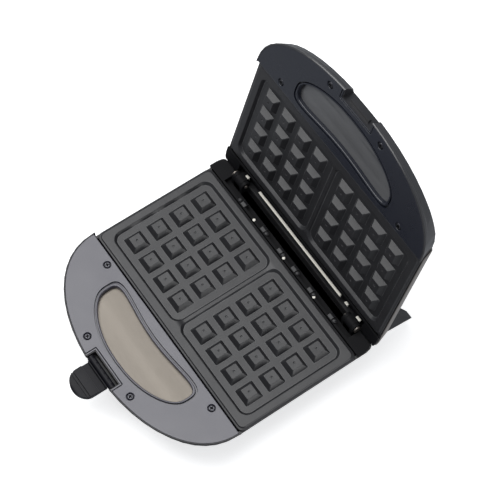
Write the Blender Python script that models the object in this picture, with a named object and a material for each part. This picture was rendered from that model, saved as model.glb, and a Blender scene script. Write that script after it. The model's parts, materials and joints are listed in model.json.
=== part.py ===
"""Double Belgian waffle maker: two hinged halves that mirror each other, and a flip-up latch.

Each half is drawn in its own frame: X along the hinge, Y from the handle (-) to the hinge (+),
and Z = 0 on the plane where the closed halves meet. The lower half lies below that plane.
The lid is the same half mirrored upwards, hung from an empty on the hinge axis and swung open.
Sizes are in millimetres and become metres where a mesh or a place is made.
"""
import math

import bmesh
import bpy
from mathutils import Matrix, Vector

MM = 0.001

# Driving dimensions, in millimetres
PITCH_X = 23.2          # waffle pocket spacing along the hinge
PITCH_Y = 24.0          # waffle pocket spacing from handle to hinge
POCKETS = 4             # pockets along each side of one waffle
HALF_WIDTH = 116.4      # casing, centre to side
CASING_BACK = 84.0      # casing, plate centre to rear wall
CASING_DEPTH = 36.0     # meeting plane to the flat of the shell
HANDLE_START = -65.0    # where the D-shaped handle leaves the straight sides
HANDLE_REACH = 71.0     # handle, from there to its front edge
HINGE_Y = 75.5          # hinge axis, behind the plate centre
MID_HEIGHT = 43.0       # meeting plane above the worktop
LID_OPEN_DEG = 104.0    # lid angle from closed, at rest on its stop
FRAME_Y = 3.8           # plate centre, ahead of which lies the object's middle
GAP = 0.3               # clearance between touching pieces

# Casing section
CORNER_R = 13.0
HANDLE_POWER = 2.15
SIDE_TAPER = 5.0        # how far the side leans in
SIDE_DEPTH = 17.0       # where it turns into the belly
BELLY_INSET = 55.0      # where the belly has become flat
WALL = 2.4
RIM_TOP = 0.5
RIM_WALL = 1.3
SEAT_DEPTH = 4.9        # ledge under the handle's panel
LEDGE = 3.0
PLATE_SEAT = 6.4        # ledge under the cooking plate
BODY_RIM = 3.1          # top of the rim around the plate and the hinge deck

# Cooking plate
PLATE_HALF_WIDTH = 114.5
PLATE_FRONT = -63.0
PLATE_BACK = 61.5
PLATE_TOP = 3.4         # the plate's flat border; its pyramids stand above it
FLANGE_BOTTOM = PLATE_SEAT - GAP
EDGE_WIDTH = 2.0        # lowered strip along the plate's edge
EDGE_DROP = 0.7
CELL_X = 53.4
CELL_HALF = (52.2, 53.2)
CELL_R = 9.0            # corners of a cell's mouth
CELL_DRAFT = 3.4
CELL_FLOOR = 7.5
DIVIDER_DROP = 1.6      # the wall between the two cells is lower than the border
PLATE_SKIN = 2.5
PYRAMID_BASE = 20.0
PYRAMID_TOP = 10.6
PYRAMID_HEIGHT = 6.3

# Handle
PANEL_BACK = -64.9
PANEL_TOP = 0.6
PANEL_BOTTOM = SEAT_DEPTH - GAP
BEAN_HALF_LENGTH = 62.6
BEAN_HALF_HEIGHT = 18.0
BEAN_Y = -96.5
BEAN_BEND = 0.0032
INSERT_THICK = 1.0
POST_R = 4.2
PILOT_R = 1.7
PILOT_END = 16.0
SCREW_SEAT = 2.3        # underside of the screw heads
POST_SHORT = 3.2        # posts end this far inside the shell's outer surface
SCREW_SPOTS = ((82.6, -71.5), (34.2, -123.4), (-34.2, -123.4), (-82.6, -71.5))

# Latch
LATCH_Y = -131.0
LATCH_DEPTH = 5.5
NOTCH_HALF = 18.7
NOTCH_BACK = -125.3
NOTCH_DEPTH = 9.4
LATCH_HALF = 14.8
LATCH_REACH = 30.0
LATCH_THICK = 5.0
LATCH_PIN_R = 1.5
LID_NOTCH_DEPTH = 28.0  # open through the lid's shell, for the raised latch

# Lid's steel hood and indicator lenses
SKIN_OUT = 1.1
LENS_X = 11.0
LENS_Y = -95.0
LENS_DEPTH = 35.0
LENS_R = 4.0

# Fins on which the closed object stands, as (distance behind the plate centre, depth)
FIN_X = 100.0
FIN_HALF = 4.0
FIN_TIP = (90.0, 62.5)
FIN_HEEL = (92.5, 19.5)

# Hinge
KNUCKLE_R = 5.0
HINGE_PIN_R = 2.0
BORE_R = HINGE_PIN_R + GAP
CHANNEL_HALF = 97.5
CHANNEL_FLOOR = 9.4
CHANNEL_FRONT = PLATE_BACK + 2 * GAP
CHANNEL_BACK = 77.4
EARS = ((77.5, 80.6), (89.9, 93.0))
KNUCKLE = (81.0, 89.5)
RELIEF = 0.4            # each half keeps this far from the plane they share when open

BRACKET_TOP = 3.2

# Cord gland, in the rear wall
GLAND_X = 40.0
GLAND_Y = 79.2
GLAND_DEPTH = 29.0
GLAND_R = 5.0

FEET = ((84.0, -60.0), (84.0, 60.0), (-84.0, 60.0), (-84.0, -60.0))
FOOT_R = 8.0
STEM_R = 9.5
STEM_TOP = 24.0
STEM_BOTTOM = 38.2


# Scene helpers
def clear_scene():
    for thing in list(bpy.data.objects):
        bpy.data.objects.remove(thing, do_unlink=True)


def material(name, color, roughness, metallic=0.0):
    mat = bpy.data.materials.new(name)
    mat.use_nodes = True
    shader = mat.node_tree.nodes["Principled BSDF"]
    shader.inputs["Base Color"].default_value = (*color, 1.0)
    shader.inputs["Roughness"].default_value = roughness
    shader.inputs["Metallic"].default_value = metallic
    return mat


def empty(name, place, tilt_deg=0.0):
    guide = bpy.data.objects.new(name, None)
    guide.location = Vector(place) * MM
    guide.rotation_euler = (math.radians(tilt_deg), 0.0, 0.0)
    bpy.context.scene.collection.objects.link(guide)
    return guide


def mesh_from(bm, name):
    bmesh.ops.recalc_face_normals(bm, faces=bm.faces)
    mesh = bpy.data.meshes.new(name)
    bm.to_mesh(mesh)
    bm.free()
    return mesh


def add(name, mesh, mat, parent, place=(0, 0, 0), turn=(0, 0, 0)):
    """Link one finished piece under its body's empty."""
    thing = bpy.data.objects.new(name, mesh)
    bpy.context.scene.collection.objects.link(thing)
    thing.parent = parent
    thing.location = Vector(place) * MM
    thing.rotation_euler = turn
    if mat:
        mesh.materials.clear()
        mesh.materials.append(mat)
    mesh.shade_smooth()
    mesh.set_sharp_from_angle(angle=math.radians(32))
    return thing


def combine(first, second, operation):
    """Boolean of two meshes drawn in the same frame."""
    target = add("target", first, None, None)
    tool = add("tool", second, None, None)
    step = target.modifiers.new(operation.lower(), "BOOLEAN")
    step.operation = operation
    step.object = tool
    step.solver = "EXACT"
    bpy.context.view_layer.update()
    seen = target.evaluated_get(bpy.context.evaluated_depsgraph_get())
    result = bpy.data.meshes.new_from_object(seen)
    for thing in (target, tool):
        bpy.data.objects.remove(thing, do_unlink=True)
    return result


def mirrored(mesh):
    """The same piece above the meeting plane."""
    bm = bmesh.new()
    bm.from_mesh(mesh)
    bmesh.ops.transform(bm, matrix=Matrix.Diagonal((1, 1, -1, 1)), verts=bm.verts)
    bmesh.ops.reverse_faces(bm, faces=bm.faces)
    return mesh_from(bm, mesh.name)


def merged(meshes):
    """Several tool bodies in one mesh."""
    bm = bmesh.new()
    for mesh in meshes:
        bm.from_mesh(mesh)
    return mesh_from(bm, "tools")


# Shape helpers, all in millimetres
def loft(loops, name="loft"):
    """Skin closed loops of equal length in order, and cap both ends."""
    bm = bmesh.new()
    rings = [[bm.verts.new(Vector(point) * MM) for point in loop] for loop in loops]
    count = len(rings[0])
    for low, high in zip(rings, rings[1:]):
        for i in range(count):
            j = (i + 1) % count
            bm.faces.new((low[i], low[j], high[j], high[i]))
    bm.faces.new(rings[0])
    bm.faces.new(rings[-1])
    return mesh_from(bm, name)


def at_depth(outline, depth):
    return [(x, y, -depth) for x, y in outline]


def slab(outline, top, bottom, name="slab"):
    """A flat piece with this outline, between two depths under the meeting plane."""
    return loft([at_depth(outline, top), at_depth(outline, bottom)], name)


def box(low, high, name="box"):
    (x0, y0, z0), (x1, y1, z1) = low, high
    corners = ((x0, y0), (x1, y0), (x1, y1), (x0, y1))
    return slab(corners, -z1, -z0, name)


def bar(outline, x0, x1, name="bar"):
    """A (y, z) section run along X."""
    return loft([[(x, y, z) for y, z in outline] for x in (x0, x1)], name)


def turned(profile, center, axis="Z", sides=24, name="turned"):
    """Rings of (radius, height) about an axis through center."""
    loops = []
    for radius, height in profile:
        ring = []
        for i in range(sides):
            angle = math.tau * i / sides
            u, v = radius * math.cos(angle), radius * math.sin(angle)
            offset = {"X": (height, u, v), "Y": (u, height, v), "Z": (u, v, height)}[axis]
            ring.append(tuple(c + o for c, o in zip(center, offset)))
        loops.append(ring)
    return loft(loops, name)


def rod(radius, center, length, axis="Z", sides=24, name="rod"):
    return turned(((radius, -length / 2), (radius, length / 2)), center, axis, sides, name)


def arc(cx, cy, radius, start_deg, end_deg, steps):
    angles = [math.radians(start_deg + (end_deg - start_deg) * i / steps) for i in range(steps + 1)]
    return [(cx + radius * math.cos(a), cy + radius * math.sin(a)) for a in angles]


def rounded_rectangle(half_x, half_y, radius, center=(0.0, 0.0), steps=5):
    cx, cy = center
    points = []
    for sx, sy, start in ((1, -1, -90), (1, 1, 0), (-1, 1, 90), (-1, -1, 180)):
        corner = (cx + sx * (half_x - radius), cy + sy * (half_y - radius))
        points += arc(*corner, radius, start, start + 90, steps)
    return points


def superellipse(angle, power):
    """Unit superellipse point."""
    c, s = math.cos(angle), math.sin(angle)
    return (math.copysign(abs(c) ** (2 / power), c), math.copysign(abs(s) ** (2 / power), s))


# Outlines
def handle_curve(inset, steps=24):
    """The D-shaped front, from the left side round to the right side."""
    points = []
    for i in range(steps + 1):
        u, v = superellipse(math.pi + math.pi * i / steps, HANDLE_POWER)
        points.append(((HALF_WIDTH - inset) * u, HANDLE_START + (HANDLE_REACH - inset) * v))
    return points


def casing_outline(inset):
    """The whole half in plan: straight sides, rounded rear corners, D-shaped handle."""
    side = HALF_WIDTH - inset
    back = CASING_BACK - inset
    radius = CORNER_R + inset / 2
    right = arc(side - radius, back - radius, radius, 0, 90, 4)
    left = arc(radius - side, back - radius, radius, 90, 180, 4)
    return right + left + handle_curve(inset)


def belly_depth(inset):
    """Depth of the shell's outside at this distance in from its edge."""
    if inset < SIDE_TAPER:
        return RIM_TOP + 0.8 + (SIDE_DEPTH - RIM_TOP - 0.8) * inset / SIDE_TAPER
    rest = 1 - (inset - SIDE_TAPER) / (BELLY_INSET - SIDE_TAPER)
    return CASING_DEPTH - (CASING_DEPTH - SIDE_DEPTH) * rest * rest


def inset_of(depth):
    """Distance in from the edge at which the shell's outside has this depth."""
    if depth < SIDE_DEPTH:
        return SIDE_TAPER * (depth - RIM_TOP - 0.8) / (SIDE_DEPTH - RIM_TOP - 0.8)
    rest = math.sqrt((CASING_DEPTH - depth) / (CASING_DEPTH - SIDE_DEPTH))
    return BELLY_INSET - rest * (BELLY_INSET - SIDE_TAPER)


def inside(x, y, inset):
    """Whether this spot in plan lies within the casing outline at this inset."""
    if y < HANDLE_START:
        across = abs(x) / (HALF_WIDTH - inset)
        along = (HANDLE_START - y) / (HANDLE_REACH - inset)
        return across ** HANDLE_POWER + along ** HANDLE_POWER < 1
    radius = CORNER_R + inset / 2
    past_x = max(abs(x) - HALF_WIDTH + inset + radius, 0.0)
    past_y = max(y - CASING_BACK + inset + radius, 0.0)
    return math.hypot(past_x, past_y) < radius


def inset_at(x, y):
    """Distance in from the edge of this spot in plan."""
    low, high = 0.0, BELLY_INSET
    for _ in range(20):
        middle = (low + high) / 2
        if inside(x, y, middle):
            low = middle
        else:
            high = middle
    return low


def belly_curve(steps=6):
    """The shell's outside from the rim to the flat, as (inset, depth)."""
    insets = [0.0] + [SIDE_TAPER + (BELLY_INSET - SIDE_TAPER) * i / steps for i in range(steps + 1)]
    return [(inset, belly_depth(inset)) for inset in insets]


def shifted(section, distance):
    """Move a section outwards (+) or inwards (-) along its own normal."""
    moved = []
    last = len(section) - 1
    for i, (inset, depth) in enumerate(section):
        before, after = section[max(i - 1, 0)], section[min(i + 1, last)]
        run = Vector((after[0] - before[0], after[1] - before[1])).normalized()
        if i == last:
            run = Vector((1, 0))
        moved.append((inset - distance * run.y, depth + distance * run.x))
    return moved


def bean_outline(grow=0.0, steps=36):
    """The crescent window of the handle, bent towards the front."""
    points = []
    for i in range(steps):
        u, v = superellipse(math.tau * i / steps, 3.0)
        x = (BEAN_HALF_LENGTH + grow) * u
        points.append((x, BEAN_Y + BEAN_BEND * x * x + (BEAN_HALF_HEIGHT + grow) * v))
    return points


def levels(section):
    """Casing outlines at each (inset, depth) of a section."""
    return [at_depth(casing_outline(inset), depth) for inset, depth in section]


# Cutters shared by both halves
def opening_relief():
    """Everything past the plane on which the two halves meet when the lid is fully open."""
    half_angle = math.radians(LID_OPEN_DEG / 2)
    slope = math.tan(half_angle)
    shift = RELIEF / math.cos(half_angle)
    reach = 30.0
    section = ((HINGE_Y - shift / slope, 0.0), (HINGE_Y + reach, -slope * reach - shift),
               (HINGE_Y + reach, reach), (HINGE_Y - shift / slope, reach))
    return bar(section, -130, 130)


def latch_notch(depth):
    return box((-NOTCH_HALF, -150, -depth), (NOTCH_HALF, NOTCH_BACK, 5))


def notch_pocket(depth):
    """Walls that line the latch notch inside the shell."""
    front = HANDLE_START - HANDLE_REACH + 1.4
    back = NOTCH_BACK + WALL
    bottom = min(depth + WALL, belly_depth(back - front - 0.5))
    depths = [1.5] + [d for _, d in belly_curve() if 1.5 < d < bottom] + [bottom]
    section = [(front + inset_of(d), -d) for d in depths]
    section += [(back, -bottom), (back, -1.5)]
    return bar(section, -NOTCH_HALF - WALL, NOTCH_HALF + WALL, "pocket")


def screw_posts():
    posts = []
    for x, y in SCREW_SPOTS:
        bottom = belly_depth(inset_at(x, y)) - POST_SHORT
        posts.append(rod(POST_R, (x, y, -(SEAT_DEPTH + bottom) / 2), bottom - SEAT_DEPTH, sides=12))
    return posts


def screw_pilots():
    return [rod(PILOT_R, (x, y, -PILOT_END / 2), PILOT_END, sides=10) for x, y in SCREW_SPOTS]


# Pieces that both halves have
def casing(notch_depth, extra_solids, extra_cuts):
    """Moulded shell with a rim, a seat for the plate and panel, screw posts and a latch notch."""
    belly = belly_curve()
    outer = [(0.6, RIM_TOP)] + belly
    floor_inset = RIM_WALL + LEDGE
    inner = [point for point in shifted(belly, -WALL) if point[0] > floor_inset]
    seat = [(RIM_WALL, RIM_TOP), (RIM_WALL, SEAT_DEPTH), (floor_inset, SEAT_DEPTH)]
    shell = loft(levels(outer[::-1] + seat + inner), "casing")
    for solid in (merged(screw_posts()), notch_pocket(notch_depth), *extra_solids):
        shell = combine(shell, solid, "UNION")
    plate_seat = box((-130, PLATE_FRONT - GAP, -PLATE_SEAT), (130, PLATE_BACK + GAP, 5))
    low_rear = box((-130, PLATE_BACK - 1, -BODY_RIM), (130, 100, 5))
    cuts = [plate_seat, low_rear, opening_relief(), latch_notch(notch_depth), merged(screw_pilots())]
    for cut in cuts + extra_cuts:
        shell = combine(shell, cut, "DIFFERENCE")
    return shell


def pyramid(x, y):
    base, top = PYRAMID_BASE / 2, PYRAMID_TOP / 2
    sunk = 0.6
    spread = (base - top) * sunk / PYRAMID_HEIGHT
    corners = ((-1, -1), (1, -1), (1, 1), (-1, 1))
    loops = []
    for half, depth in ((base + spread, CELL_FLOOR + sunk), (top, CELL_FLOOR - PYRAMID_HEIGHT)):
        loops.append(at_depth([(x + sx * half, y + sy * half) for sx, sy in corners], depth))
    return loft(loops)


def cooking_plate():
    """Cast plate: a flange on the casing's seat and two recessed cells of blunt pyramids."""
    middle = (0.0, (PLATE_FRONT + PLATE_BACK) / 2)
    half_y = (PLATE_BACK - PLATE_FRONT) / 2
    cell_x, cell_y = CELL_HALF
    pan_x, pan_y = CELL_X + cell_x + 0.5, cell_y + 0.5
    pan_bottom = CELL_FLOOR + PLATE_SKIN
    edge_x, edge_y = PLATE_HALF_WIDTH - EDGE_WIDTH, half_y - EDGE_WIDTH
    sections = (
        (rounded_rectangle(pan_x - 2.5, pan_y - 2.5, 8.0), pan_bottom),
        (rounded_rectangle(pan_x, pan_y, CELL_R), pan_bottom - 2.0),
        (rounded_rectangle(pan_x, pan_y, CELL_R), FLANGE_BOTTOM),
        (rounded_rectangle(PLATE_HALF_WIDTH, half_y, 6.0, middle), FLANGE_BOTTOM),
        (rounded_rectangle(PLATE_HALF_WIDTH, half_y, 6.0, middle), PLATE_TOP + 2 * EDGE_DROP),
        (rounded_rectangle(edge_x, edge_y, 4.5, middle), PLATE_TOP + EDGE_DROP),
        (rounded_rectangle(edge_x - 0.3, edge_y - 0.3, 4.3, middle), PLATE_TOP),
    )
    plate = loft([at_depth(outline, depth) for outline, depth in sections], "plate")
    cells = []
    for side in (-1, 1):
        center = (side * CELL_X, 0.0)
        slope = CELL_DRAFT / (CELL_FLOOR - PLATE_TOP)
        mouth = rounded_rectangle(cell_x + slope, cell_y + slope, CELL_R, center)
        floor = rounded_rectangle(cell_x - CELL_DRAFT, cell_y - CELL_DRAFT, 6.5, center)
        cells.append(loft([at_depth(mouth, PLATE_TOP - 1.0), at_depth(floor, CELL_FLOOR)]))
    plate = combine(plate, merged(cells), "DIFFERENCE")
    straight = cell_y - CELL_R
    lowered = box((-CELL_X, -straight, -PLATE_TOP - DIVIDER_DROP), (CELL_X, straight, 5))
    plate = combine(plate, lowered, "DIFFERENCE")
    middle_pocket = (POCKETS - 1) / 2
    bumps = [pyramid(side * CELL_X + (i - middle_pocket) * PITCH_X, (j - middle_pocket) * PITCH_Y)
             for side in (-1, 1) for i in range(POCKETS) for j in range(POCKETS)]
    return combine(plate, merged(bumps), "UNION")


def handle_panel():
    """Flat cover of the handle, with the crescent window, the latch notch and the screw seats."""
    outline = [(x, min(y, PANEL_BACK)) for x, y in handle_curve(RIM_WALL + GAP)]
    outline[0] = (outline[0][0], PANEL_BACK)
    panel = slab(outline, PANEL_TOP, PANEL_BOTTOM, "panel")
    window = slab(bean_outline(), PANEL_TOP - 1, PANEL_BOTTOM + 1)
    room = NOTCH_HALF + WALL + GAP
    notch = box((-room, -150, -10), (room, NOTCH_BACK + WALL + GAP, 5))
    seat = ((3.3, 1.0), (3.3, -2.6), (1.8, -2.6), (1.8, -6.0))
    seats = [turned(seat, (x, y, 0), sides=12) for x, y in SCREW_SPOTS]
    return combine(panel, merged([window, notch, *seats]), "DIFFERENCE")


def handle_insert():
    top = SEAT_DEPTH
    return slab(bean_outline(3.0), top, top + INSERT_THICK, "insert")


def panel_screw():
    """Pan-head screw, its head's underside at z = 0."""
    profile = ((1.35, -11.0), (1.35, 0.0), (3.0, 0.0), (3.0, 1.0), (2.4, 1.6))
    return turned(profile, (0, 0, 0), sides=12, name="screw")


def bracket_deck():
    """The rear deck of a half: two cheeks and a sunken channel between them."""
    inset = RIM_WALL + GAP
    edge = [(x, y) for x, y in casing_outline(inset) if y > CHANNEL_FRONT]
    side = HALF_WIDTH - inset
    outline = [(side, CHANNEL_FRONT)] + edge + [(-side, CHANNEL_FRONT)]
    deck = slab(outline, BRACKET_TOP, PANEL_BOTTOM, "bracket")
    tray = box((-CHANNEL_HALF, CHANNEL_FRONT, -CHANNEL_FLOOR - 2.2), (CHANNEL_HALF, CHANNEL_BACK, -3.9))
    hollow = box((-CHANNEL_HALF + 2, CHANNEL_FRONT + 2, -CHANNEL_FLOOR), (CHANNEL_HALF - 2, 95, 5))
    deck = combine(deck, tray, "UNION")
    deck = combine(deck, hollow, "DIFFERENCE")
    return combine(deck, opening_relief(), "DIFFERENCE")


def hinge_bracket(spans, name):
    """A rear deck with bored knuckles at these spans of |x|."""
    bracket = bracket_deck()
    for low, high in spans:
        for side in (-1, 1):
            x0, x1 = sorted((side * low, side * high))
            web = bar(((HINGE_Y - KNUCKLE_R, -CHANNEL_FLOOR - 1), (HINGE_Y + 1.5, -CHANNEL_FLOOR - 1),
                       (HINGE_Y + 1.5, -2), (HINGE_Y - KNUCKLE_R, -0.5)), x0, x1)
            round_end = rod(KNUCKLE_R, ((x0 + x1) / 2, HINGE_Y, 0), x1 - x0, "X", 20)
            bracket = combine(bracket, combine(web, round_end, "UNION"), "UNION")
    bores = [rod(BORE_R, (side * 85.0, HINGE_Y, 0), 30, "X", 16) for side in (-1, 1)]
    bracket = combine(bracket, merged(bores), "DIFFERENCE")
    bracket.name = name
    return bracket


def heater():
    """Sheathed element: one open loop under both cells, its ends at the rear."""
    bend, reach_x, front, back = 16.0, 88.0, -44.0, 46.0
    near_x, far_x = bend - reach_x, reach_x - bend
    corners = arc(near_x, back - bend, bend, 90, 180, 5) + arc(near_x, front + bend, bend, 180, 270, 5)
    corners += arc(far_x, front + bend, bend, 270, 360, 5) + arc(far_x, back - bend, bend, 0, 90, 5)
    path = [(-16.0, back)] + corners + [(16.0, back)]
    curve = bpy.data.curves.new("heater", "CURVE")
    curve.dimensions = "3D"
    spline = curve.splines.new("POLY")
    spline.points.add(len(path) - 1)
    radius = 3.2
    depth = CELL_FLOOR + PLATE_SKIN + GAP + radius
    for point, (x, y) in zip(spline.points, path):
        point.co = (x * MM, y * MM, -depth * MM, 1.0)
    curve.bevel_depth = radius * MM
    curve.bevel_resolution = 1
    curve.use_fill_caps = True
    guide = bpy.data.objects.new("heater_path", curve)
    bpy.context.scene.collection.objects.link(guide)
    bpy.context.view_layer.update()
    seen = guide.evaluated_get(bpy.context.evaluated_depsgraph_get())
    mesh = bpy.data.meshes.new_from_object(seen)
    bpy.data.objects.remove(guide, do_unlink=True)
    bm = bmesh.new()
    bm.from_mesh(mesh)
    bmesh.ops.remove_doubles(bm, verts=bm.verts, dist=1e-6)
    return mesh_from(bm, "heater")


def reflector():
    """Thin pressed tray that turns the heat back to the plate."""
    thick = 0.8
    rings = ((97.0, 55.0, 16.8), (93.5, 52.0, 22.8), (93.5 - thick, 52.0 - thick, 22.8 - thick),
             (97.0 - thick, 55.0 - thick, 16.8))
    order = (rings[1], rings[0], rings[3], rings[2])
    return loft([at_depth(rounded_rectangle(hx, hy, 10.0), depth) for hx, hy, depth in order], "reflector")


# Pieces of one half only
def base_casing():
    middle, length = -(STEM_BOTTOM + STEM_TOP) / 2, STEM_BOTTOM - STEM_TOP
    stems = [rod(STEM_R, (x, y, middle), length, sides=16) for x, y in FEET]
    pin_bores = rod(LATCH_PIN_R + GAP, (0, LATCH_Y, -LATCH_DEPTH), 2 * (NOTCH_HALF + 2.1), "X", 12)
    gland_hole = rod(GLAND_R + GAP, (GLAND_X, GLAND_Y - 5, -GLAND_DEPTH), 26, "Y", 16)
    return casing(NOTCH_DEPTH, stems, [pin_bores, gland_hole])


def lid_casing():
    """Drawn below the meeting plane like the base, then mirrored."""
    lens_holes = [rod(LENS_R + GAP, (x, LENS_Y, -LENS_DEPTH), 14, sides=16) for x in (-LENS_X, LENS_X)]
    shell = casing(LID_NOTCH_DEPTH, [], lens_holes)
    catch = box((-12, NOTCH_BACK - 2.9, -10), (12, NOTCH_BACK + 0.5, -4.5))
    return mirrored(combine(shell, catch, "UNION"))


def lid_skin():
    """Steel hood over the lid's shell, from the handle back to the hinge."""
    below_lip = [(inset, belly_depth(inset)) for inset in (1.3, SIDE_TAPER)] + belly_curve()[2:]
    hood = loft(levels(shifted(below_lip, SKIN_OUT)[::-1] + shifted(below_lip, GAP)), "skin")
    front = box((-150, HANDLE_START + 0.6, -60), (150, 120, 10))
    hood = combine(hood, front, "INTERSECT")
    return mirrored(combine(hood, opening_relief(), "DIFFERENCE"))


def storage_foot(x):
    """Fin behind the lid on which the closed object stands upright."""
    loops = []
    for side in (x - FIN_HALF, x + FIN_HALF):
        insets = [(y, max(inset_at(side, y), SIDE_TAPER)) for y in (50.0, 58.0, 66.0, 72.0, 76.5)]
        root = [(y, belly_depth(inset) + SKIN_OUT + 4 * GAP) for y, inset in insets]
        loops.append([(side, y, -depth) for y, depth in root + [FIN_HEEL, FIN_TIP]])
    return mirrored(loft(loops, "storage_foot"))


def edge_strip():
    """Bright folded lip of the lid's sheet metal, in the hinge channel."""
    y0 = HINGE_Y - 6.5
    section = ((y0, -3.0), (y0 + 0.8, -3.0), (y0 + 0.8, -4.6), (y0 + 4.2, -5.1), (y0 + 4.2, -5.9), (y0, -5.5))
    return mirrored(bar(section, -64.0, 61.0, "edge_strip"))


def latch():
    """Flip-up latch about its pivot, lying outwards: flat tongue, hook and barrel."""
    straight = 18.0
    tip = [(LATCH_HALF * math.cos(a), -straight + (LATCH_REACH - straight) * math.sin(a))
           for a in [math.pi * (1 + i / 14) for i in range(15)]]
    outline = tip + [(LATCH_HALF, 3.0), (-LATCH_HALF, 3.0)]
    half = LATCH_THICK / 2
    tongue = loft([[(x, y, z) for x, y in outline] for z in (half, -half)], "latch")
    hook = box((-11, -20.2, 1.5), (11, -17.2, 4.8))
    barrel = rod(3.4, (0, 0, 0), 2 * LATCH_HALF, "X", 20)
    body = combine(combine(tongue, hook, "UNION"), barrel, "UNION")
    bore = rod(LATCH_PIN_R + GAP, (0, 0, 0), 60, "X", 12)
    return combine(body, bore, "DIFFERENCE")


def foot():
    bottom = MID_HEIGHT - STEM_BOTTOM - GAP
    profile = ((FOOT_R - 1.2, -bottom), (FOOT_R - 0.4, -bottom + 0.8), (FOOT_R, 0.0))
    return turned(profile, (0, 0, 0), sides=20, name="foot")


def hinge_pin():
    """Headed pin along X, its head outwards at the +X end."""
    return turned(((2.0, -8.8), (2.0, 8.4), (3.6, 8.4), (3.6, 9.8)), (0, 0, 0), "X", 16, "hinge_pin")


def lens():
    """Stepped lens, its flange inside the shell and its dome outside."""
    profile = ((5.2, 7.2), (5.2, 5.8), (LENS_R, 5.8), (LENS_R, -1.2), (3.0, -2.0))
    return turned(profile, (0, 0, 0), sides=16, name="lens")


def cord_gland():
    """Flanged bush in the rear wall, bored for the cord."""
    profile = ((GLAND_R, -14.0), (GLAND_R, 0.0), (GLAND_R + 1.8, 0.0), (GLAND_R + 1.8, 1.6), (4.4, 7.0))
    body = turned(profile, (0, 0, 0), "Y", 16, "gland")
    return combine(body, rod(3.1, (0, 0, 0), 40, "Y", 12), "DIFFERENCE")


# Assembly
def build_base(frame, mats):
    add("base_casing", base_casing(), mats["shell"], frame)
    add("base_cooking_plate", cooking_plate(), mats["plate"], frame)
    add("base_handle_panel", handle_panel(), mats["panel"], frame)
    add("base_handle_insert", handle_insert(), mats["steel"], frame)
    add("base_hinge_bracket", hinge_bracket(EARS, "base_bracket"), mats["black"], frame)
    add("base_heater", heater(), mats["element"], frame)
    add("base_reflector", reflector(), mats["aluminium"], frame)
    for i, (x, y) in enumerate(SCREW_SPOTS, 1):
        add(f"base_panel_screw_{i}", panel_screw(), mats["screw"], frame, (x, y, -SCREW_SEAT))
    for i, (x, y) in enumerate(FEET, 1):
        add(f"foot_{i}", foot(), mats["rubber"], frame, (x, y, -STEM_BOTTOM - GAP))
    for i, x in enumerate((-2 * PITCH_X, 0.0, 2 * PITCH_X), 1):
        stud = turned(((1.5, 0.0), (1.5, 0.5), (0.9, 0.9)), (0, 0, 0), sides=12, name="stud")
        add(f"bracket_rivet_{i}", stud, mats["bright"], frame, (x, CHANNEL_FRONT + 1.1, -BRACKET_TOP + GAP))
    add("thermostat", rod(9.0, (0, 0, -18.4), 6.0, sides=24, name="thermostat"), mats["bright"], frame)
    add("thermal_fuse", rod(2.0, (-30, 22, -18.0), 16, "X", 12, "fuse"), mats["bright"], frame)
    add("terminal_block", box((24, 18, -32.5), (54, 32, -24.5), "terminals"), mats["ivory"], frame)
    add("cord_gland", cord_gland(), mats["black"], frame, (GLAND_X, GLAND_Y, -GLAND_DEPTH))
    pin = rod(LATCH_PIN_R, (0, 0, 0), 2 * (NOTCH_HALF + 1.7), "X", 12, "latch_pin")
    add("latch_pin", pin, mats["bright"], frame, (0, LATCH_Y, -LATCH_DEPTH))
    for name, side in (("hinge_pin_left", -1), ("hinge_pin_right", 1)):
        turn = (0, 0, 0) if side > 0 else (0, 0, math.pi)
        add(name, hinge_pin(), mats["bright"], frame, (side * 85.0, HINGE_Y, 0), turn)


def build_lid(hinge, mats):
    back = (0, -HINGE_Y, 0)
    add("lid_casing", lid_casing(), mats["shell"], hinge, back)
    add("lid_skin", lid_skin(), mats["skin"], hinge, back)
    add("lid_cooking_plate", mirrored(cooking_plate()), mats["lid_plate"], hinge, back)
    add("lid_handle_panel", mirrored(handle_panel()), mats["lid_panel"], hinge, back)
    add("lid_handle_insert", mirrored(handle_insert()), mats["steel"], hinge, back)
    add("lid_hinge_bracket", mirrored(hinge_bracket((KNUCKLE,), "lid_bracket")), mats["black"], hinge, back)
    add("lid_edge_strip", edge_strip(), mats["bright"], hinge, back)
    add("lid_heater", mirrored(heater()), mats["element"], hinge, back)
    add("lid_reflector", mirrored(reflector()), mats["aluminium"], hinge, back)
    upside_down = (math.pi, 0, 0)
    for i, (x, y) in enumerate(SCREW_SPOTS, 1):
        place = (x, y - HINGE_Y, SCREW_SEAT)
        add(f"lid_panel_screw_{i}", panel_screw(), mats["screw"], hinge, place, upside_down)
    for name, side in (("left", -1), ("right", 1)):
        add(f"storage_foot_{name}", storage_foot(side * FIN_X), mats["black"], hinge, back)
        add(f"indicator_lens_{name}", mirrored(lens()), mats["lens"], hinge,
            (side * LENS_X, LENS_Y - HINGE_Y, LENS_DEPTH))


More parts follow.
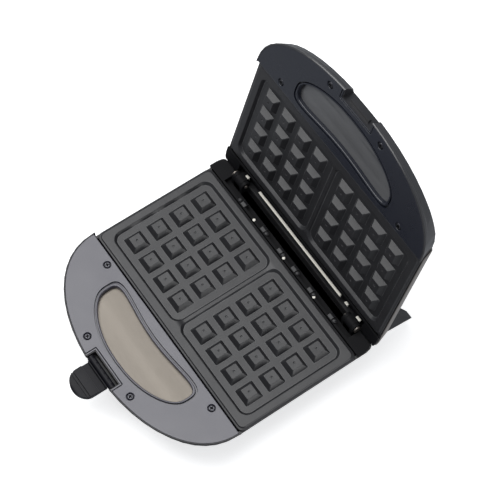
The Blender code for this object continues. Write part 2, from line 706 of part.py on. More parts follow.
def main():
    clear_scene()
    mats = {
        "shell": material("black_plastic", (0.012, 0.012, 0.014), 0.38),
        "black": material("black_nylon", (0.01, 0.01, 0.011), 0.5),
        "panel": material("satin_panel", (0.07, 0.07, 0.08), 0.32),
        "lid_panel": material("satin_lid_panel", (0.03, 0.032, 0.04), 0.32),
        "plate": material("non_stick_plate", (0.03, 0.03, 0.032), 0.35),
        "lid_plate": material("non_stick_lid_plate", (0.03, 0.03, 0.032), 0.35),
        "steel": material("brushed_insert", (0.55, 0.53, 0.49), 0.35, 1.0),
        "skin": material("brushed_skin", (0.5, 0.48, 0.46), 0.3, 1.0),
        "screw": material("dark_screw", (0.18, 0.18, 0.19), 0.35, 1.0),
        "bright": material("bright_metal", (0.8, 0.79, 0.76), 0.25, 1.0),
        "element": material("heater_sheath", (0.3, 0.29, 0.28), 0.45, 1.0),
        "aluminium": material("pressed_aluminium", (0.75, 0.75, 0.76), 0.4, 1.0),
        "rubber": material("foot_rubber", (0.02, 0.02, 0.02), 0.8),
        "ivory": material("terminal_ceramic", (0.8, 0.77, 0.68), 0.5),
        "lens": material("indicator_red", (0.5, 0.03, 0.02), 0.15),
        "latch": material("latch_plastic", (0.012, 0.012, 0.014), 0.35),
    }
    frame = empty("base_frame", (0, FRAME_Y, MID_HEIGHT))
    hinge = empty("lid_hinge_axis", (0, FRAME_Y + HINGE_Y, MID_HEIGHT), -LID_OPEN_DEG)
    pivot = empty("latch_axis", (0, FRAME_Y + LATCH_Y, MID_HEIGHT - LATCH_DEPTH))
    build_base(frame, mats)
    build_lid(hinge, mats)
    add("latch", latch(), mats["latch"], pivot)


main()
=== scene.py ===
"""Looks of the open double waffle maker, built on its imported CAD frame.

Both halves are drawn in one half frame, in millimetres: X along the hinge, Y from the handle (-)
to the hinge (+), and depth below the plane on which the closed halves meet. BASE and LID place
that frame in the row frame; LID mirrors it upwards and swings it open about the hinge.
"""

import json
import math

import bmesh
import bpy
from mathutils import Matrix, Vector


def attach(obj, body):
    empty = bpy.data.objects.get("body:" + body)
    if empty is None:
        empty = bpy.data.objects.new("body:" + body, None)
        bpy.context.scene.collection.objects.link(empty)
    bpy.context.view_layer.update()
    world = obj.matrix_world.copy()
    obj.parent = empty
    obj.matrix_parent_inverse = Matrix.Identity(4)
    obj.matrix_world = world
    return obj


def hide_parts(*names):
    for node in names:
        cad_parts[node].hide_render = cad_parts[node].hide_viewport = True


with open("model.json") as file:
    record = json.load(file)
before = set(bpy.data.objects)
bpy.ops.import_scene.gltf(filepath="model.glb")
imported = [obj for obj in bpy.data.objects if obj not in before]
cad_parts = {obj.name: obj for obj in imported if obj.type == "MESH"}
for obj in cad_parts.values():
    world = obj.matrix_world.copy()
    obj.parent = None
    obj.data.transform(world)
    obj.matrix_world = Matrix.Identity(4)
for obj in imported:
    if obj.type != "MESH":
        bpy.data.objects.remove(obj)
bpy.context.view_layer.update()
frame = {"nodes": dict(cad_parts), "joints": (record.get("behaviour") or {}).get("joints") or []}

MM = 0.001

# Sizes of the CAD model, in millimetres
HALF_WIDTH = 116.4
HANDLE_START = -65.0
HANDLE_REACH = 71.0
HANDLE_POWER = 2.15
HINGE_Y = 75.5
PITCH = (23.2, 24.0)
POCKETS = 4
PLATE_X, PLATE_FRONT, PLATE_BACK = 114.5, -63.0, 61.5
PLATE_TOP, FLANGE_BOTTOM = 3.4, 6.1
CELL_X, CELL_HALF, CELL_R, CELL_FLOOR = 53.4, (52.2, 53.2), 9.0, 7.5
PANEL_BACK, PANEL_TOP, PANEL_BOTTOM = -64.9, 0.6, 4.6
INSERT_TOP, INSERT_BOTTOM = 4.9, 5.9
# The window: half length, half height, middle and bend
BEAN = (62.6, 18.0, -96.5, 0.0032)
NOTCH_ROOM, NOTCH_BACK = 21.4, -122.6
SCREWS = ((82.6, -71.5), (34.2, -123.4), (-34.2, -123.4), (-82.6, -71.5))
SCREW_SEAT = 2.3
LATCH_HALF, LATCH_REACH, LATCH_STRAIGHT = 14.8, 30.0, 18.0

SHARP_DEG = 38

# Details that only the looks have, in millimetres
# The wall between the cells: half width, half length, ramp at its ends, and drop below the border
DIVIDER_HALF, DIVIDER_END, DIVIDER_RAMP, DIVIDER_DROP = 9.0, 50.5, 6.0, 1.6
INSERT_OVERLAP = 3.0
LATCH_BELOW = 2.4
BARREL_HALF = LATCH_HALF + 3.2
# Where the lid's folded lip shows between its hinge parts
LIP_SPANS = ((-84.5, -80.8), (-64.0, 61.0), (68.4, 72.2), (85.4, 90.6))
# Clips along the hinge channel, each with the side on which its screw sits
CLIPS = ((-64.8, -1), (-34.0, 1), (-8.0, 1), (14.0, 1), (39.0, 1), (70.0, 1))
# The lid's handle gets thinner from here to its front edge, to this share of its depth
THIN_FROM, FRONT_SHARE = -81.0, 0.52
THINNED = ("lid_casing", "indicator_lens_left", "indicator_lens_right")

joints = {joint["name"]: joint for joint in frame["joints"]}
hinge = Vector(joints["lid_hinge"]["pos_m"])
opened = math.radians(joints["lid_hinge"]["range_deg"][1])
to_plate = Matrix.Translation((0, -HINGE_Y * MM, 0))
BASE = Matrix.Translation(hinge) @ to_plate
swung = Matrix.Translation(hinge) @ Matrix.Rotation(-opened, 4, "X")
LID = swung @ to_plate @ Matrix.Diagonal((1, 1, -1, 1))
LATCH = Matrix.Translation(Vector(joints["latch_pivot"]["pos_m"]))

# Each half's body, place, materials of its panel, insert and casing, and crown of its insert
HALVES = (("base", BASE, "panel", "insert", "shell", 0.4),
          # The lid's panel takes a darker, less glossy copy of the panel plastic: painted shade
          ("lid", LID, "lid_panel", "lid_insert", "lid_shell", 1.4))


# Camera, lights and floor
def set_stage():
    """The photo's camera, a pale world, two soft lights and a white floor."""
    scene = bpy.context.scene
    camera = bpy.data.objects.new("camera", bpy.data.cameras.new("camera"))
    scene.collection.objects.link(camera)
    # The camera that fits the photo
    camera.location = (0.53428, -0.38276, 1.48995)
    camera.rotation_euler = (0.451562, -0.023085, 0.962423)
    camera.data.lens = 129.05
    camera.data.clip_start = 0.01
    scene.camera = camera
    scene.view_settings.view_transform = "Standard"
    world = bpy.data.worlds.new("studio")
    world.use_nodes = True
    world.node_tree.nodes["Background"].inputs["Color"].default_value = (0.9, 0.94, 1.0, 1.0)
    world.node_tree.nodes["Background"].inputs["Strength"].default_value = 0.32
    scene.world = world
    area_light("overhead", (-0.45, -0.07, 1.25), (1.1, 1.5), 16.5)
    area_light("right", (1.5, 0.45, 0.32), (0.9, 0.7), 7.0)
    white_floor()


def white_floor():
    """Matt floor that glows a little, so that it comes out as white as the photo's."""
    bm = bmesh.new()
    bmesh.ops.create_grid(bm, x_segments=1, y_segments=1, size=3.0)
    mesh = bpy.data.meshes.new("floor")
    bm.to_mesh(mesh)
    bm.free()
    floor = bpy.data.objects.new("floor", mesh)
    bpy.context.scene.collection.objects.link(floor)
    paint = bpy.data.materials.new("floor_white")
    paint.use_nodes = True
    shader = paint.node_tree.nodes["Principled BSDF"]
    shader.inputs["Base Color"].default_value = (0.9, 0.9, 0.9, 1.0)
    shader.inputs["Roughness"].default_value = 0.9
    shader.inputs["Specular IOR Level"].default_value = 0.1
    shader.inputs["Emission Color"].default_value = (1.0, 1.0, 1.0, 1.0)
    shader.inputs["Emission Strength"].default_value = 0.6
    mesh.materials.append(paint)
    floor.visible_glossy = False


def area_light(name, place, size, power):
    """A rectangular light aimed at the hinge."""
    light = bpy.data.objects.new(name, bpy.data.lights.new(name, "AREA"))
    bpy.context.scene.collection.objects.link(light)
    light.data.shape = "RECTANGLE"
    light.data.size, light.data.size_y = size
    light.data.energy = power
    light.location = place
    aim = hinge - Vector(place)
    light.rotation_euler = aim.to_track_quat("-Z", "Y").to_euler()


# Materials
def finish(name, color, roughness, metallic=0.0, specular=0.5, coat=0.0, grain=0.5, bump=0.02,
           stretch=(1.0, 1.0, 1.0), mottle=0.15, spread=0.06, wear=None, edge=0.5, brushed=None):
    """A surface with fine grain in its bump and roughness, broad colour change, and worn edges."""
    mat = bpy.data.materials.new(name)
    mat.use_nodes = True
    nodes, links = mat.node_tree.nodes, mat.node_tree.links
    shader = nodes["Principled BSDF"]
    shader.inputs["Metallic"].default_value = metallic
    shader.inputs["Specular IOR Level"].default_value = specular
    shader.inputs["Coat Weight"].default_value = coat
    shader.inputs["Coat Roughness"].default_value = 0.2
    if brushed:
        shader.inputs["Anisotropic"].default_value = 0.85
        along = nodes.new("ShaderNodeTangent")
        along.direction_type = "RADIAL"
        along.axis = brushed
        links.new(along.outputs["Tangent"], shader.inputs["Tangent"])
    place = nodes.new("ShaderNodeTexCoord")
    scale = nodes.new("ShaderNodeMapping")
    scale.inputs["Scale"].default_value = [s / MM for s in stretch]
    links.new(place.outputs["Object"], scale.inputs["Vector"])
    fine = noise(nodes, links, scale.outputs["Vector"], 1 / grain, 3.0)
    broad = noise(nodes, links, scale.outputs["Vector"], 1 / 17.0, 4.0)
    tint = nodes.new("ShaderNodeMix")
    tint.data_type = "RGBA"
    tint.inputs["A"].default_value = (*[c * (1 - mottle) for c in color], 1.0)
    tint.inputs["B"].default_value = (*[c * (1 + mottle) for c in color], 1.0)
    blur = nodes.new("ShaderNodeMath")
    blur.operation = "ADD"
    half = nodes.new("ShaderNodeMath")
    half.operation = "MULTIPLY"
    half.inputs[1].default_value = 0.5
    links.new(fine, blur.inputs[0])
    links.new(broad, blur.inputs[1])
    links.new(blur.outputs[0], half.inputs[0])
    links.new(half.outputs[0], tint.inputs["Factor"])
    color_out = tint.outputs["Result"]
    if wear:
        worn = edge_mask(nodes, links, edge, broad)
        rub = nodes.new("ShaderNodeMix")
        rub.data_type = "RGBA"
        rub.inputs["B"].default_value = (*wear, 1.0)
        links.new(worn, rub.inputs["Factor"])
        links.new(color_out, rub.inputs["A"])
        color_out = rub.outputs["Result"]
    links.new(color_out, shader.inputs["Base Color"])
    gloss = nodes.new("ShaderNodeMapRange")
    gloss.inputs["From Min"].default_value = 0.3
    gloss.inputs["From Max"].default_value = 0.7
    gloss.inputs["To Min"].default_value = roughness - spread
    gloss.inputs["To Max"].default_value = roughness + spread
    links.new(half.outputs[0], gloss.inputs["Value"])
    links.new(gloss.outputs["Result"], shader.inputs["Roughness"])
    relief = nodes.new("ShaderNodeBump")
    relief.inputs["Strength"].default_value = 0.6
    relief.inputs["Distance"].default_value = bump * MM
    links.new(fine, relief.inputs["Height"])
    links.new(relief.outputs["Normal"], shader.inputs["Normal"])
    return mat


def noise(nodes, links, vector, scale, detail):
    texture = nodes.new("ShaderNodeTexNoise")
    texture.inputs["Scale"].default_value = scale
    texture.inputs["Detail"].default_value = detail
    links.new(vector, texture.inputs["Vector"])
    return texture.outputs["Fac"]


def edge_mask(nodes, links, radius, breakup):
    """1 on convex and concave edges within this radius, broken up by a noise."""
    bevel = nodes.new("ShaderNodeBevel")
    bevel.inputs["Radius"].default_value = radius * MM
    shape = nodes.new("ShaderNodeNewGeometry")
    dot = nodes.new("ShaderNodeVectorMath")
    dot.operation = "DOT_PRODUCT"
    links.new(bevel.outputs["Normal"], dot.inputs[0])
    links.new(shape.outputs["Normal"], dot.inputs[1])
    bent = nodes.new("ShaderNodeMapRange")
    bent.inputs["From Min"].default_value = 0.995
    bent.inputs["From Max"].default_value = 0.93
    links.new(dot.outputs["Value"], bent.inputs["Value"])
    broken = nodes.new("ShaderNodeMath")
    broken.operation = "MULTIPLY"
    links.new(bent.outputs["Result"], broken.inputs[0])
    links.new(breakup, broken.inputs[1])
    return broken.outputs[0]


MATS = {
    "coating": finish("non_stick_coating", (0.018, 0.018, 0.020), 0.39, specular=0.56, grain=0.45,
                      bump=0.05, mottle=0.3, wear=(0.15, 0.15, 0.155), edge=0.45),
    "panel": finish("satin_panel", (0.033, 0.031, 0.050), 0.36, specular=0.86, coat=0.26, grain=0.25,
                    bump=0.012, mottle=0.10, wear=(0.08, 0.08, 0.09)),
    # Darker, less glossy copy of the panel plastic: painted shade for the lid's handle panel
    "lid_panel": finish("satin_lid_panel", (0.010, 0.012, 0.020), 0.30, specular=0.62, coat=0.15,
                        grain=0.25, bump=0.012, mottle=0.12, wear=(0.05, 0.052, 0.06)),
    "shell": finish("black_shell", (0.012, 0.012, 0.013), 0.42, grain=0.4, bump=0.03, mottle=0.3,
                    wear=(0.05, 0.05, 0.052)),
    "lid_shell": finish("glossy_lid_shell", (0.012, 0.012, 0.014), 0.33, specular=0.7, coat=0.5, grain=0.4,
                        bump=0.02, mottle=0.3, wear=(0.06, 0.06, 0.064)),
    "nylon": finish("black_nylon", (0.010, 0.010, 0.011), 0.50, specular=0.3, grain=0.5, bump=0.04,
                    mottle=0.3, wear=(0.045, 0.045, 0.045)),
    "deck": finish("deck_nylon", (0.006, 0.006, 0.007), 0.60, specular=0.12, grain=0.5, bump=0.05,
                   mottle=0.4, wear=(0.03, 0.03, 0.03)),
    "clip": finish("dark_spring_clip", (0.012, 0.012, 0.014), 0.34, specular=0.4, grain=0.4, bump=0.02,
                   mottle=0.3, wear=(0.14, 0.14, 0.14)),
    "latch": finish("latch_plastic", (0.007, 0.007, 0.010), 0.42, specular=0.2, grain=0.35, bump=0.02,
                    mottle=0.2, wear=(0.05, 0.05, 0.055)),
    "insert": finish("brushed_insert", (0.195, 0.176, 0.153), 0.42, metallic=1.0, grain=0.35, bump=0.006,
                     stretch=(0.03, 1.0, 1.0), mottle=0.12, spread=0.08, brushed="X"),
    "lid_insert": finish("brushed_lid_insert", (0.235, 0.235, 0.24), 0.40, metallic=1.0, grain=0.35,
                         bump=0.006, stretch=(0.03, 1.0, 1.0), mottle=0.12, spread=0.08, brushed="X"),
    "skin": finish("brushed_skin", (0.46, 0.42, 0.385), 0.38, metallic=1.0, grain=0.35, bump=0.006,
                   stretch=(1.0, 0.03, 1.0), mottle=0.15, spread=0.08),
    "screw": finish("dark_screw_steel", (0.085, 0.085, 0.095), 0.32, metallic=1.0, grain=0.3, bump=0.01,
                    mottle=0.25, wear=(0.12, 0.12, 0.12), edge=0.2),
    "bright": finish("bright_zinc", (0.66, 0.65, 0.62), 0.28, metallic=1.0, grain=0.4, bump=0.01,
                     mottle=0.15, spread=0.1),
    # Near-white and not metal: painted highlight for the overhead light shining off the lid's steel lip and
    # the rivet heads
    "ivory": finish("white_painted_glint", (0.92, 0.89, 0.80), 0.42, grain=0.6, bump=0.01, mottle=0.08),
    "sheath": finish("heater_sheath", (0.22, 0.20, 0.18), 0.48, metallic=1.0, grain=0.5, bump=0.02,
                     mottle=0.4, spread=0.1),
    "aluminium": finish("pressed_aluminium", (0.70, 0.70, 0.71), 0.36, metallic=1.0, grain=0.6, bump=0.01,
                        mottle=0.1, spread=0.1),
    "ceramic": finish("terminal_ceramic", (0.74, 0.70, 0.60), 0.45, grain=0.5, bump=0.02, mottle=0.1),
    "rubber": finish("foot_rubber", (0.022, 0.022, 0.022), 0.75, grain=0.6, bump=0.06, mottle=0.35),
    "lens": finish("indicator_red", (0.42, 0.012, 0.01), 0.16, specular=0.7, coat=0.5, grain=0.8, bump=0.01,
                   mottle=0.2),
}


# Outlines and sections, in millimetres
def arc(cx, cy, radius, start_deg, end_deg, steps):
    angles = [math.radians(start_deg + (end_deg - start_deg) * i / steps) for i in range(steps + 1)]
    return [(cx + radius * math.cos(a), cy + radius * math.sin(a)) for a in angles]


def spaced(a, b, count):
    """Points strictly between a and b."""
    return [tuple(p + (q - p) * i / (count + 1) for p, q in zip(a, b)) for i in range(1, count + 1)]


def rounded_rectangle(half_x, half_y, radius, center, steps, side=0):
    """Its corners have this many steps, and its sides this many extra points."""
    cx, cy = center
    points = []
    for sx, sy, start in ((1, -1, -90), (1, 1, 0), (-1, 1, 90), (-1, -1, 180)):
        corner = (cx + sx * (half_x - radius), cy + sy * (half_y - radius))
        bend = arc(*corner, radius, start, start + 90, steps)
        if points:
            points += spaced(points[-1], bend[0], side)
        points += bend
    return points + spaced(points[-1], points[0], side)


def superellipse(angle, power):
    c, s = math.cos(angle), math.sin(angle)
    return (math.copysign(abs(c) ** (2 / power), c), math.copysign(abs(s) ** (2 / power), s))


def handle_curve(inset, steps=120):
    """The handle's D shape, moved in by this much."""
    points = []
    for i in range(steps + 1):
        u, v = superellipse(math.pi + math.pi * i / steps, HANDLE_POWER)
        points.append(((HALF_WIDTH - inset) * u, HANDLE_START + (HANDLE_REACH - inset) * v))
    return points


def bean(grow, steps=72):
    """The window's bent outline, grown by this much."""
    half_length, half_height, middle, bend = BEAN
    points = []
    for i in range(steps):
        u, v = superellipse(math.tau * i / steps, 3.0)
        x = (half_length + grow) * u
        points.append((x, middle + bend * x * x + (half_height + grow) * v))
    return points


def circle(radius, center=(0.0, 0.0), sides=24):
    cx, cy = center
    return [(cx + radius * math.cos(math.tau * i / sides), cy + radius * math.sin(math.tau * i / sides))
            for i in range(sides)]


def at(outline, depth):
    """An outline at this depth."""
    return [(x, y, -depth) for x, y in outline]


def eased(points, radius, steps):
    """A polyline with its inner corners rounded."""
    result = [points[0]]
    for before, corner, after in zip(points, points[1:], points[2:]):
        b, c, a = Vector(before), Vector(corner), Vector(after)
        reach = min(radius, (b - c).length * 0.48, (a - c).length * 0.48)
        start, end = c + (b - c).normalized() * reach, c + (a - c).normalized() * reach
        for i in range(steps + 1):
            t = i / steps
            result.append(tuple(start * (1 - t) ** 2 + c * 2 * t * (1 - t) + end * t * t))
    return result + [points[-1]]


def inward(outline, distance):
    """An anticlockwise outline moved in by this distance."""
    moved = []
    for before, here, after in zip(outline[-1:] + outline[:-1], outline, outline[1:] + outline[:1]):
        b, h, a = Vector(before), Vector(here), Vector(after)
        first, second = (h - b).normalized(), (a - h).normalized()
        normal = Vector((-first.y - second.y, first.x + second.x))
        size = max(normal.length, 0.6)
        moved.append(tuple(h + normal * (2 * distance / (size * size))))
    return moved


# Mesh makers
def skin(bm, loops):
    """Quads between closed loops of equal length. Returns the first and the last ring."""
    rings = [[bm.verts.new(point) for point in loop] for loop in loops]
    count = len(rings[0])
    for low, high in zip(rings, rings[1:]):
        for i in range(count):
            j = (i + 1) % count
            bm.faces.new((low[i], low[j], high[j], high[i]))
    return rings[0], rings[-1]


def cover(bm, rings):
    """Fill the flat area between an outer ring and the rings of its holes."""
    edges = []
    for ring in rings:
        for a, b in zip(ring, ring[1:] + ring[:1]):
            edges.append(bm.edges.get((a, b)) or bm.edges.new((a, b)))
    bmesh.ops.triangle_fill(bm, use_beauty=True, edges=edges, normal=(0, 0, 1))


def solid(bm, loops):
    """A closed loft."""
    for ring in skin(bm, loops):
        bm.faces.new(ring)


def flat_piece(bm, outline, top, bottom, edge, holes=()):
    """A flat piece with a rounded upper edge; each hole is a list of loops from top to bottom."""
    section = eased([(0.0, top + 2 * edge), (0.0, top), (2 * edge, top)], edge, 3)
    loops = [at(outline, bottom)] + [at(inward(outline, inset), depth) for inset, depth in section]
    low, high = skin(bm, loops)
    ends = [skin(bm, hole) for hole in holes]
    cover(bm, [high] + [first for first, _ in ends])
    cover(bm, [low] + [last for _, last in ends])


def turned(bm, profile, center, axis="Z", sides=32):
    """Rings of (radius, height) about an X or Z axis through center."""
    cx, cy, cz = center
    loops = []
    for radius, height in profile:
        ring = circle(radius, sides=sides)
        if axis == "X":
            loops.append([(cx + height, cy + u, cz + v) for u, v in ring])
        else:
            loops.append([(cx + u, cy + v, cz + height) for u, v in ring])
    solid(bm, loops)


def bar(bm, section, x0, x1, end=0.4):
    """A (y, z) section run along X, its ends slightly drawn in."""
    middle_y = sum(y for y, _ in section) / len(section)
    middle_z = sum(z for _, z in section) / len(section)
    loops = []
    for x, shrink in ((x0, 0.94), (x0 + end, 1.0), (x1 - end, 1.0), (x1, 0.94)):
        loops.append([(x, middle_y + (y - middle_y) * shrink, middle_z + (z - middle_z) * shrink)
                      for y, z in section])
    solid(bm, loops)


def put(name, bm, place, mat, body, nodes):
    """Finish a mesh drawn in millimetres, and hang it on its body in place of these CAD nodes."""
    bmesh.ops.transform(bm, matrix=place @ Matrix.Scale(MM, 4), verts=bm.verts)
    bmesh.ops.recalc_face_normals(bm, faces=bm.faces)
    mesh = bpy.data.meshes.new(name)
    bm.to_mesh(mesh)
    bm.free()
    mesh.materials.append(MATS[mat])
    mesh.shade_smooth()
    mesh.set_sharp_from_angle(angle=math.radians(SHARP_DEG))
    piece = bpy.data.objects.new(name, mesh)
    bpy.context.scene.collection.objects.link(piece)
    weigh = piece.modifiers.new("normals", "WEIGHTED_NORMAL")
    weigh.keep_sharp = True
    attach(piece, body)
    if nodes:
        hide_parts(*nodes)
    return piece


def thinned(bm):
    """Raise the outside of the lid's handle towards its front edge."""
    bmesh.ops.transform(bm, matrix=Matrix.Scale(1 / MM, 4) @ LID.inverted(), verts=bm.verts)
    for vert in bm.verts:
        reach = min(max((THIN_FROM - vert.co.y) / (THIN_FROM - HANDLE_START + HANDLE_REACH), 0.0), 1.0)
        below = -vert.co.z - INSERT_TOP
        if below > 0:
            vert.co.z += below * (1 - FRONT_SHARE) * math.sin(reach * math.pi / 2)
    bmesh.ops.transform(bm, matrix=LID @ Matrix.Scale(MM, 4), verts=bm.verts)


def dressed(node, mat, body, width):
    """A welded copy of a CAD node with edges rounded to this width."""
    bm = bmesh.new()
    bm.from_mesh(frame["nodes"][node].data)
    bmesh.ops.remove_doubles(bm, verts=bm.verts, dist=2e-6)
    bmesh.ops.dissolve_limit(bm, angle_limit=math.radians(0.5), verts=bm.verts, edges=bm.edges)
    if node in THINNED:
        bmesh.ops.triangulate(bm, faces=bm.faces)
        thinned(bm)
    bmesh.ops.scale(bm, vec=(1 / MM,) * 3, verts=bm.verts)
    piece = put(node + "_shown", bm, Matrix.Identity(4), mat, body, [node])
    # The CAD mesh's stored normals don't fit its rounded edges
    if "custom_normal" in piece.data.attributes:
        piece.data.attributes.remove(piece.data.attributes["custom_normal"])
    round_off = piece.modifiers.new("round", "BEVEL")
    round_off.width = width * MM
    round_off.segments = 2
    round_off.limit_method = "ANGLE"
    round_off.angle_limit = math.radians(SHARP_DEG)
    round_off.miter_outer = "MITER_ARC"
    # The edges are rounded before the normals are weighted
    piece.modifiers.move(1, 0)
    return piece


# Cooking plates
def smooth_step(value):
    """From 0 to 1 with soft ends."""
    t = min(max(value, 0.0), 1.0)
    return t * t * (3 - 2 * t)


def settled(loop):
    """Lower the wall between the cells below the plate's border."""
    result = []
    for x, y, z in loop:
        if abs(x) < DIVIDER_HALF:
            crest = PLATE_TOP + DIVIDER_DROP * smooth_step((DIVIDER_END - abs(y)) / DIVIDER_RAMP)
            # The greater of -z and crest, with a soft change from one to the other
            depth = 0.5 * (-z + crest + math.sqrt((z + crest) ** 2 + 0.12))
            z = -depth if crest > PLATE_TOP else z
        result.append((x, y, z))
    return result


def cooking_plate():
    """Plate with a lowered edge and two cells, whose floors carry the pyramids."""
    bm = bmesh.new()
    middle = (0.0, (PLATE_FRONT + PLATE_BACK) / 2)
    half_y = (PLATE_BACK - PLATE_FRONT) / 2
    edge = eased([(0.0, FLANGE_BOTTOM), (0.0, 4.7), (1.9, 4.2), (2.4, PLATE_TOP), (3.6, PLATE_TOP)], 0.5, 3)
    low, high = skin(bm, [at(rounded_rectangle(PLATE_X - i, half_y - i, 6.0 - i / 2, middle, 8), d)
                          for i, d in edge])
    wall = eased([(-0.9, PLATE_TOP), (0.0, PLATE_TOP), (3.4, CELL_FLOOR), (5.2, CELL_FLOOR)], 0.55, 4)
    floors, mouths = [], []
    for side in (-1, 1):
        loops = [settled(at(rounded_rectangle(CELL_HALF[0] - i, CELL_HALF[1] - i, CELL_R - i * 0.7,
                                              (side * CELL_X, 0.0), 8, 24), d)) for i, d in wall]
        mouth, floor = skin(bm, loops)
        mouths.append(mouth)
        floors.append(floor)
    cover(bm, [high] + mouths)
    for ring in floors + [low]:
        bm.faces.new(ring)
    middle_pocket = (POCKETS - 1) / 2
    for side in (-1, 1):
        for i in range(POCKETS):
            for j in range(POCKETS):
                pyramid(bm, side * CELL_X + (i - middle_pocket) * PITCH[0], (j - middle_pocket) * PITCH[1])
    return bm


def pyramid(bm, x, y):
    """A blunt pyramid with soft edges and a small dimple in its top."""
    section = eased([(10.4, CELL_FLOOR + 0.1), (10.0, CELL_FLOOR), (5.35, 1.22), (1.5, 1.26)], 0.22, 4)
    section += [(1.15, 1.32), (0.95, 2.0), (0.5, 2.3)]
    # Square with rounded corners down the sides, and round in the dimple
    corners = [(h, d, min(h, 0.5 + 0.06 * h) if h > 1.4 else h) for h, d in section]
    _, high = skin(bm, [at(rounded_rectangle(h, h, r, (x, y), 4), d) for h, d, r in corners])
    bm.faces.new(high)


# Handle
def panel_outline():
    """The handle's outline moved in by the casing's rim, with the latch's notch in its front."""
    curve = [(x, min(y, PANEL_BACK)) for x, y in handle_curve(1.6)]
    left = [p for p in curve if p[0] < -NOTCH_ROOM - 0.5]
    right = [p for p in curve if p[0] > NOTCH_ROOM + 0.5]
    front = left[-1][1]
    notch = [(-NOTCH_ROOM, front), (-NOTCH_ROOM, NOTCH_BACK), (NOTCH_ROOM, NOTCH_BACK), (NOTCH_ROOM, front)]
    return left + eased(notch, 1.2, 4) + right


def handle_panel():
    """Panel with a grooved rim round its window, and a stepped seat at each screw."""
    bm = bmesh.new()
    window = [(3.7, PANEL_TOP), (3.5, 3.0), (2.1, 3.0), (1.9, 0.75), (1.1, 0.66), (0.3, 0.9), (0.0, 1.6),
              (0.0, PANEL_BOTTOM)]
    holes = [[at(bean(grow), depth) for grow, depth in eased(window, 0.25, 2)]]
    seat = [(4.1, PANEL_TOP), (3.7, 0.75), (3.4, 1.2), (3.3, 2.6), (1.8, 2.6), (1.8, PANEL_BOTTOM)]
    for spot in SCREWS:
        holes.append([at(circle(radius, spot), depth) for radius, depth in seat])
    flat_piece(bm, panel_outline(), PANEL_TOP, PANEL_BOTTOM, 0.45, holes)
    notch_lip(bm)
    return bm


def notch_lip(bm):
    """Thin border just inside the latch's notch."""
    out, back, front = NOTCH_ROOM - 0.7, NOTCH_BACK - 0.7, -134.2
    wide = 1.2
    outline = [(-out, front), (-out + wide, front), (-out + wide, back - wide), (out - wide, back - wide),
               (out - wide, front), (out, front), (out, back), (-out, back)]
    flat_piece(bm, outline, 0.7, 1.45, 0.25)


def handle_insert(crown):
    """Thin sheet under the window, bowed up by this much in the middle."""
    bm = bmesh.new()
    full = BEAN[1] + INSERT_OVERLAP
    rings = [(INSERT_OVERLAP, INSERT_BOTTOM)]
    for grow in [INSERT_OVERLAP - 3.0 * i for i in range(7)] + [-17.0]:
        out = (BEAN[1] + grow) / full
        rings.append((grow, INSERT_TOP - crown * (1 - out * out)))
    solid(bm, [at(bean(grow), depth) for grow, depth in rings])
    return bm


def phillips_screw(spot):
    """Pan head with a cross recess, above a plain shank."""
    bm = bmesh.new()
    x, y = spot
    crown = SCREW_SEAT - 1.6
    head = eased([(3.0, SCREW_SEAT), (3.0, SCREW_SEAT - 0.9), (2.2, crown), (1.9, crown)], 0.4, 3)
    low, high = skin(bm, [at(circle(radius, spot), depth) for radius, depth in head])
    bm.faces.new(low)
    half_slot, arm = 0.6, 1.75
    cross = []
    quarter = [(half_slot, -arm), (half_slot, -half_slot), (arm, -half_slot)]
    for _ in range(4):
        cross += quarter
        quarter = [(-v, u) for u, v in quarter]
    # Each screw stops at an angle of its own
    turn = Matrix.Rotation(x * y, 2)
    shape = [turn @ Vector(point) for point in cross]
    recess = [[(x + p.x * s, y + p.y * s, -depth) for p in shape]
              for s, depth in ((1.0, crown), (0.85, SCREW_SEAT - 0.3))]
    top, bottom = skin(bm, recess)
    # The recess takes the screw's second material, which is darker: painted shade in the cross
    for face in [bm.faces.new(bottom)] + [face for vert in bottom for face in vert.link_faces]:
        face.material_index = 1
    cover(bm, [high, top])
    shank = ((1.35, -SCREW_SEAT - 11.0), (1.35, -SCREW_SEAT - 0.2), (1.3, -SCREW_SEAT))
    turned(bm, shank, (x, y, 0), sides=16)
    return bm


# Latch, about its pivot and lying outwards
def latch_half(y):
    """Half the tongue's width at this distance from the pivot."""
    if y > -LATCH_STRAIGHT:
        return LATCH_HALF
    out = (-y - LATCH_STRAIGHT) / (LATCH_REACH - LATCH_STRAIGHT)
    return LATCH_HALF * math.sqrt(max(1 - out ** 2, 0.02))


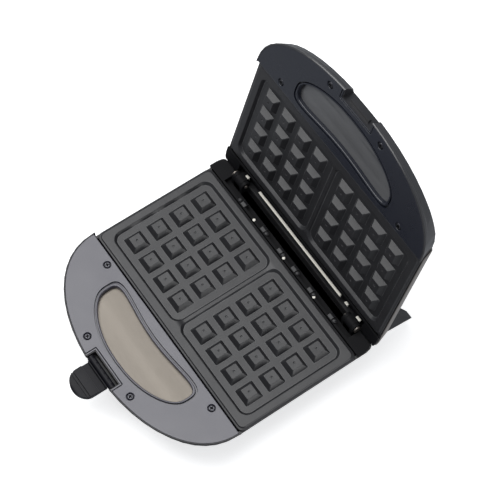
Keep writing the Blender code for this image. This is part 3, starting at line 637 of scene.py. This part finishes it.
def latch():
    """Ridged tongue and barrel, with a rail before the barrel and five teeth on it."""
    bm = bmesh.new()
    tip = [(-29.85, 1.0), (-29.5, 1.5), (-29.0, 1.9), (-28.2, 2.2), (-27.2, 2.4), (-26.0, 2.5), (-24.8, 2.5)]
    ridge = [(-23.9, 2.5), (-23.6, 1.5), (-22.9, 1.5), (-22.7, 2.6), (-21.9, 2.7), (-21.6, 0.9),
             (-20.3, 0.9), (-20.0, 2.4)]
    flat = [(-17.5, 2.5), (-14.0, 2.5), (-11.5, 2.3)]
    groove = [(-11.2, 0.9), (-4.9, 0.3), (-4.6, 2.2), (-3.6, 2.8)]
    loops = []
    for y, top in tip + ridge + flat + groove:
        middle = (0.0, (top - LATCH_BELOW) / 2)
        ring = rounded_rectangle(latch_half(y), (top + LATCH_BELOW) / 2, 0.7, middle, 4)
        loops.append([(x, y, z) for x, z in ring])
    solid(bm, loops)
    barrel = [(2.9, -BARREL_HALF), (3.3, -BARREL_HALF + 0.4), (3.3, BARREL_HALF - 0.4), (2.9, BARREL_HALF)]
    turned(bm, barrel, (0.0, 0.0, 0.0), "X")
    rail = eased([(-4.6, 1.0), (-4.6, 3.4), (-3.8, 3.5), (-3.8, 1.0)], 0.3, 3)
    bar(bm, rail, -LATCH_HALF + 0.1, LATCH_HALF - 0.1, 0.3)
    tooth = eased([(0.8, 1.0), (0.8, 3.6), (1.8, 3.4), (1.8, 1.0)], 0.3, 2)
    for x in (-12.0, -6.0, 0.0, 6.0, 12.0):
        bar(bm, tooth, x - 2.0, x + 2.0, 0.3)
    return bm


# Hinge
def edge_strip():
    """The lid's folded lip, seen between its hinge parts."""
    bm = bmesh.new()
    front = HINGE_Y - 6.5
    section = eased([(front, -3.0), (front + 0.8, -3.0), (front + 0.8, -4.6), (front + 4.2, -5.1),
                     (front + 4.2, -5.9), (front, -5.5)], 0.25, 2)
    for x0, x1 in LIP_SPANS:
        bar(bm, section, x0, x1)
    return bm


def rivet(x, y, depth):
    """Low domed head on the deck, at this depth."""
    bm = bmesh.new()
    dome = [(0.7, -depth - 0.5), (1.5, -depth), (1.5, -depth + 0.3), (1.2, -depth + 0.7),
            (0.6, -depth + 0.9)]
    turned(bm, dome, (x, y, 0), sides=20)
    return bm


def spring_clip(x, side):
    """Folded clip with a domed screw on this side of it, on the front edge of the hinge channel."""
    bm = bmesh.new()
    strip = eased([(62.6, -3.2), (62.6, -2.5), (66.0, -2.1), (68.6, -3.4), (69.4, -6.8), (68.7, -6.9),
                   (67.9, -4.0), (65.8, -2.8)], 0.5, 3)
    bar(bm, strip, x - 2.6, x + 2.6, 0.3)
    dome = [(2.1, -3.0), (2.1, -2.0), (1.6, -1.5), (0.7, -1.35)]
    turned(bm, dome, (x + side * 5.4, 64.6, 0), sides=20)
    return bm


# Assembly
set_stage()
for body, place, panel, insert, shell, crown in HALVES:
    put(body + "_plate_cast", cooking_plate(), place, "coating", body,
        [body + "_cooking_plate"])
    put(body + "_panel_cover", handle_panel(), place, panel, body,
        [body + "_handle_panel"])
    put(body + "_insert_sheet", handle_insert(crown), place, insert, body,
        [body + "_handle_insert"])
    for i, spot in enumerate(SCREWS, 1):
        screw = put(f"{body}_phillips_{i}", phillips_screw(spot), place, "screw", body,
                    [f"{body}_panel_screw_{i}"])
        # Second material: the deck's near-black nylon as painted shade in each screw's cross recess
        screw.data.materials.append(MATS["deck"])
    dressed(body + "_casing", shell, body, 0.5)
    dressed(body + "_hinge_bracket", "deck", body, 0.3)
    frame["nodes"][body + "_heater"].data.materials[0] = MATS["sheath"]
    frame["nodes"][body + "_reflector"].data.materials[0] = MATS["aluminium"]
put("latch_tongue", latch(), LATCH, "latch", "latch", ["latch"])
# The lip is painted near-white, a painted highlight for the light reflected off its steel
put("lid_folded_lip", edge_strip(), LID, "ivory", "lid", ["lid_edge_strip"])
# The rivet heads are painted near-white, painted glints for the light on their domes
for i, x in enumerate((-2 * PITCH[0], 0.0, 2 * PITCH[0]), 1):
    put(f"deck_rivet_{i}", rivet(x, PLATE_BACK + 1.7, 2.9), BASE, "ivory", "base",
        [f"bracket_rivet_{i}"])
for i, (x, side) in enumerate(CLIPS, 1):
    put(f"channel_clip_{i}", spring_clip(x, side), BASE, "clip", "base", [])
dressed("lid_skin", "skin", "lid", 0.15)
for name in ("left", "right"):
    dressed("storage_foot_" + name, "nylon", "lid", 0.5)
    dressed("indicator_lens_" + name, "lens", "lid", 0.3)
    dressed("hinge_pin_" + name, "sheath", "base", 0.2)
for i in range(1, 5):
    dressed(f"foot_{i}", "rubber", "base", 0.3)
dressed("cord_gland", "nylon", "base", 0.3)
dressed("latch_pin", "screw", "base", 0.15)
for node, mat in (("thermostat", "bright"), ("thermal_fuse", "bright"), ("terminal_block", "ceramic")):
    frame["nodes"][node].data.materials[0] = MATS[mat]
